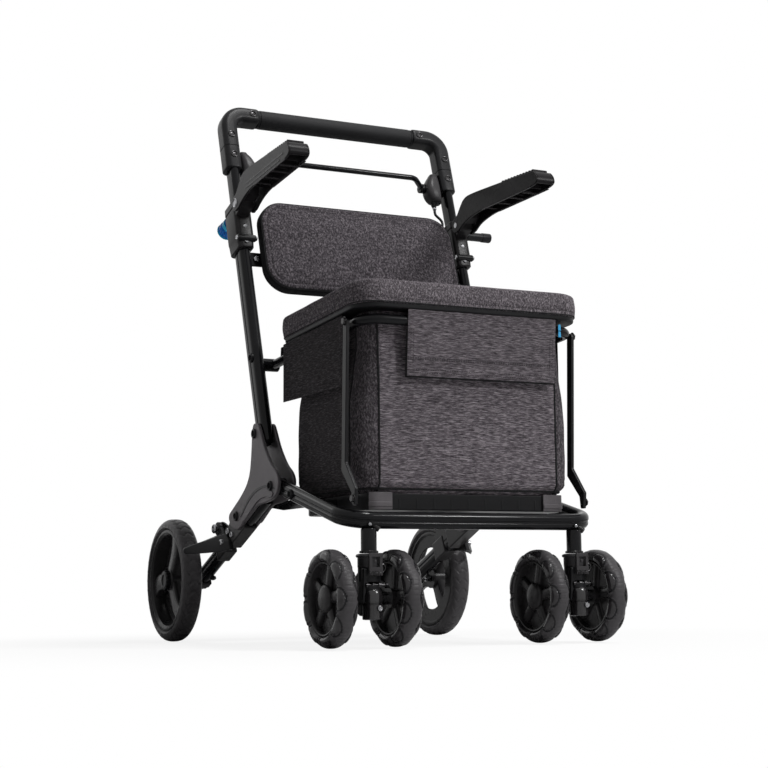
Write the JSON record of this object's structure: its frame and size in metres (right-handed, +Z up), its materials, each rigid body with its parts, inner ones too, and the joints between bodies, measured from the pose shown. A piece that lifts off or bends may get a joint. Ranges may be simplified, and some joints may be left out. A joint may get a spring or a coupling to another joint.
{
  "type": "shopping walker",
  "caption": "Folding four-wheel walking frame with a padded seat lid over a fabric shopping bag, flip-up armrests, a backrest, a push bar with a squeeze brake and twin swivel casters.",
  "frame": {"origin": "on the floor, under the middle of the bounding box", "axes": "+Z up; the walker's front faces -Y; +X to the right when looking along +Y"},
  "size_m": [0.57, 0.7855, 0.9569],
  "materials": {
    "painted_frame": "satin black powder coat",
    "hammered_grey": "grey hammered paint",
    "dark_plastic": "fine moulded grain",
    "soft_grip": "soft matt",
    "tyre_rubber": "dark grey",
    "grey_fabric": "woven",
    "blue_plastic": "gloss"
  },
  "bodies": {
    "frame": {"upright_tube_left": "painted_frame", "upright_tube_right": "painted_frame", "gusset_outer_left": "hammered_grey", "gusset_outer_right": "hammered_grey", "gusset_inner_left": "hammered_grey", "gusset_inner_right": "hammered_grey", "rear_leg_left": "painted_frame", "rear_leg_right": "painted_frame", "height_clamp_left": "dark_plastic", "height_clamp_right": "dark_plastic", "brake_cable_left": "soft_grip", "brake_cable_right": "soft_grip", "backrest_pad": "grey_fabric", "backrest_rail": "painted_frame", "accessory_peg": "dark_plastic"},
    "handle": {"inner_tube_left": "painted_frame", "inner_tube_right": "painted_frame", "handle_elbow_left": "dark_plastic", "handle_elbow_right": "dark_plastic", "brake_housing_left": "dark_plastic", "brake_housing_right": "dark_plastic", "handle_grip": "soft_grip"},
    "brake_bar": {"brake_bar": "painted_frame"},
    "lower": {"lower_frame": "painted_frame", "bag_tray": "dark_plastic", "bag": "grey_fabric", "caster_stem_left": "painted_frame", "caster_stem_right": "painted_frame"},
    "seat": {"seat_frame": "painted_frame", "front_flap": "grey_fabric", "side_flap_left": "grey_fabric", "side_flap_right": "grey_fabric"},
    "lid": {"seat_lid": "grey_fabric"},
    "height_knob_left": {"height_knob_left": "blue_plastic"},
    "armrest_left": {"armrest_left": "dark_plastic"},
    "brake_shoe_left": {"brake_shoe_left": "dark_plastic"},
    "rear_wheel_left": {"rear_tyre_left": "tyre_rubber", "rear_rim_left": "dark_plastic"},
    "post_left": {"seat_post_left": "painted_frame"},
    "fold_catch_left": {"fold_hook_left": "painted_frame"},
    "caster_left": {"caster_fork_left": "dark_plastic"},
    "swivel_lock_left": {"swivel_lock_left": "dark_plastic"},
    "front_wheel_left_outer": {"front_tyre_left_outer": "tyre_rubber", "front_rim_left_outer": "dark_plastic"},
    "front_wheel_left_inner": {"front_tyre_left_inner": "tyre_rubber", "front_rim_left_inner": "dark_plastic"},
    "height_knob_right": {"height_knob_right": "blue_plastic"},
    "armrest_right": {"armrest_right": "dark_plastic"},
    "brake_shoe_right": {"brake_shoe_right": "dark_plastic"},
    "rear_wheel_right": {"rear_tyre_right": "tyre_rubber", "rear_rim_right": "dark_plastic"},
    "post_right": {"seat_post_right": "painted_frame"},
    "fold_catch_right": {"fold_hook_right": "painted_frame"},
    "caster_right": {"caster_fork_right": "dark_plastic"},
    "swivel_lock_right": {"swivel_lock_right": "dark_plastic"},
    "front_wheel_right_outer": {"front_tyre_right_outer": "tyre_rubber", "front_rim_right_outer": "dark_plastic"},
    "front_wheel_right_inner": {"front_tyre_right_inner": "tyre_rubber", "front_rim_right_inner": "dark_plastic"}
  },
  "joints": [
    {"name": "handle_height", "type": "slide", "parent": "frame", "child": "handle", "axis": [0, 0.294, 0.9558], "range_m": [-0.045, 0.06], "deforming": ["brake_cable_left", "brake_cable_right"]},
    {"name": "brake_squeeze", "type": "hinge", "parent": "handle", "child": "brake_bar", "pos_m": [0, 0.13084, 0.83657], "axis": [-1, 0, 0], "range_deg": [0, 16], "stiffness_Nm_per_rad": 1.5, "springref_deg": -11.46},
    {"name": "lower_fold", "type": "hinge", "parent": "frame", "child": "lower", "pos_m": [0, -0.083, 0.256], "axis": [-1, 0, 0], "range_deg": [0, 55], "deforming": ["bag"]},
    {"name": "seat_fold", "type": "hinge", "parent": "frame", "child": "seat", "pos_m": [0, 0.01745, 0.468], "axis": [-1, 0, 0], "range_deg": [0, 43.5]},
    {"name": "seat_lid_open", "type": "hinge", "parent": "seat", "child": "lid", "pos_m": [0, -0.034, 0.4926], "axis": [1, 0, 0], "range_deg": [-75, 0]},
    {"name": "height_knob_left_pull", "type": "slide", "parent": "frame", "child": "height_knob_left", "axis": [0, 0.9558, -0.294], "range_m": [0, 0.005], "stiffness_N_per_m": 300, "springref_m": -0.003},
    {"name": "armrest_left_raise", "type": "hinge", "parent": "frame", "child": "armrest_left", "pos_m": [-0.218, 0.063, 0.755], "axis": [-1, 0, 0], "range_deg": [0, 70]},
    {"name": "brake_shoe_left_press", "type": "hinge", "parent": "frame", "child": "brake_shoe_left", "pos_m": [-0.23, 0.156, 0.196], "axis": [1, 0, 0], "range_deg": [0, 2.5]},
    {"name": "rear_wheel_left_spin", "type": "hinge", "parent": "frame", "child": "rear_wheel_left", "pos_m": [-0.267, 0.286, 0.109], "axis": [1, 0, 0], "continuous": true},
    {"name": "seat_post_left_swing", "type": "hinge", "parent": "seat", "child": "post_left", "pos_m": [-0.2013, -0.3107, 0.49233], "axis": [-1, 0, 0], "range_deg": [-37.5, 0]},
    {"name": "fold_catch_left_release", "type": "hinge", "parent": "frame", "child": "fold_catch_left", "pos_m": [-0.195, -0.004, 0.232], "axis": [1, 0, 0], "range_deg": [0, 25], "stiffness_Nm_per_rad": 0.3, "springref_deg": -11.46},
    {"name": "caster_left_swivel", "type": "hinge", "parent": "lower", "child": "caster_left", "pos_m": [-0.1805, -0.338, 0.1405], "axis": [0, 0, 1], "continuous": true},
    {"name": "swivel_lock_left_drop", "type": "slide", "parent": "caster_left", "child": "swivel_lock_left", "axis": [0, 0, 1], "range_m": [-0.012, 0]},
    {"name": "front_wheel_left_outer_spin", "type": "hinge", "parent": "caster_left", "child": "front_wheel_left_outer", "pos_m": [-0.234, -0.316, 0.0745], "axis": [1, 0, 0], "continuous": true},
    {"name": "front_wheel_left_inner_spin", "type": "hinge", "parent": "caster_left", "child": "front_wheel_left_inner", "pos_m": [-0.127, -0.316, 0.0745], "axis": [1, 0, 0], "continuous": true},
    {"name": "height_knob_right_pull", "type": "slide", "parent": "frame", "child": "height_knob_right", "axis": [0, 0.9558, -0.294], "range_m": [0, 0.005], "stiffness_N_per_m": 300, "springref_m": -0.003},
    {"name": "armrest_right_raise", "type": "hinge", "parent": "frame", "child": "armrest_right", "pos_m": [0.218, 0.063, 0.755], "axis": [-1, 0, 0], "range_deg": [0, 70]},
    {"name": "brake_shoe_right_press", "type": "hinge", "parent": "frame", "child": "brake_shoe_right", "pos_m": [0.23, 0.156, 0.196], "axis": [1, 0, 0], "range_deg": [0, 2.5]},
    {"name": "rear_wheel_right_spin", "type": "hinge", "parent": "frame", "child": "rear_wheel_right", "pos_m": [0.267, 0.286, 0.109], "axis": [1, 0, 0], "continuous": true},
    {"name": "seat_post_right_swing", "type": "hinge", "parent": "seat", "child": "post_right", "pos_m": [0.2013, -0.3107, 0.49233], "axis": [-1, 0, 0], "range_deg": [-37.5, 0]},
    {"name": "fold_catch_right_release", "type": "hinge", "parent": "frame", "child": "fold_catch_right", "pos_m": [0.195, -0.004, 0.232], "axis": [1, 0, 0], "range_deg": [0, 25], "stiffness_Nm_per_rad": 0.3, "springref_deg": -11.46},
    {"name": "caster_right_swivel", "type": "hinge", "parent": "lower", "child": "caster_right", "pos_m": [0.1805, -0.338, 0.1405], "axis": [0, 0, 1], "continuous": true},
    {"name": "swivel_lock_right_drop", "type": "slide", "parent": "caster_right", "child": "swivel_lock_right", "axis": [0, 0, 1], "range_m": [-0.012, 0]},
    {"name": "front_wheel_right_outer_spin", "type": "hinge", "parent": "caster_right", "child": "front_wheel_right_outer", "pos_m": [0.234, -0.316, 0.0745], "axis": [1, 0, 0], "continuous": true},
    {"name": "front_wheel_right_inner_spin", "type": "hinge", "parent": "caster_right", "child": "front_wheel_right_inner", "pos_m": [0.127, -0.316, 0.0745], "axis": [1, 0, 0], "continuous": true}
  ],
  "couplings": [
    {"joint": "seat_fold", "follows": "lower_fold", "ratio": 0.785},
    {"joint": "brake_shoe_left_press", "follows": "brake_squeeze", "ratio": 0.15},
    {"joint": "seat_post_left_swing", "follows": "lower_fold", "ratio": -0.655},
    {"joint": "brake_shoe_right_press", "follows": "brake_squeeze", "ratio": 0.15},
    {"joint": "seat_post_right_swing", "follows": "lower_fold", "ratio": -0.655}
  ]
}
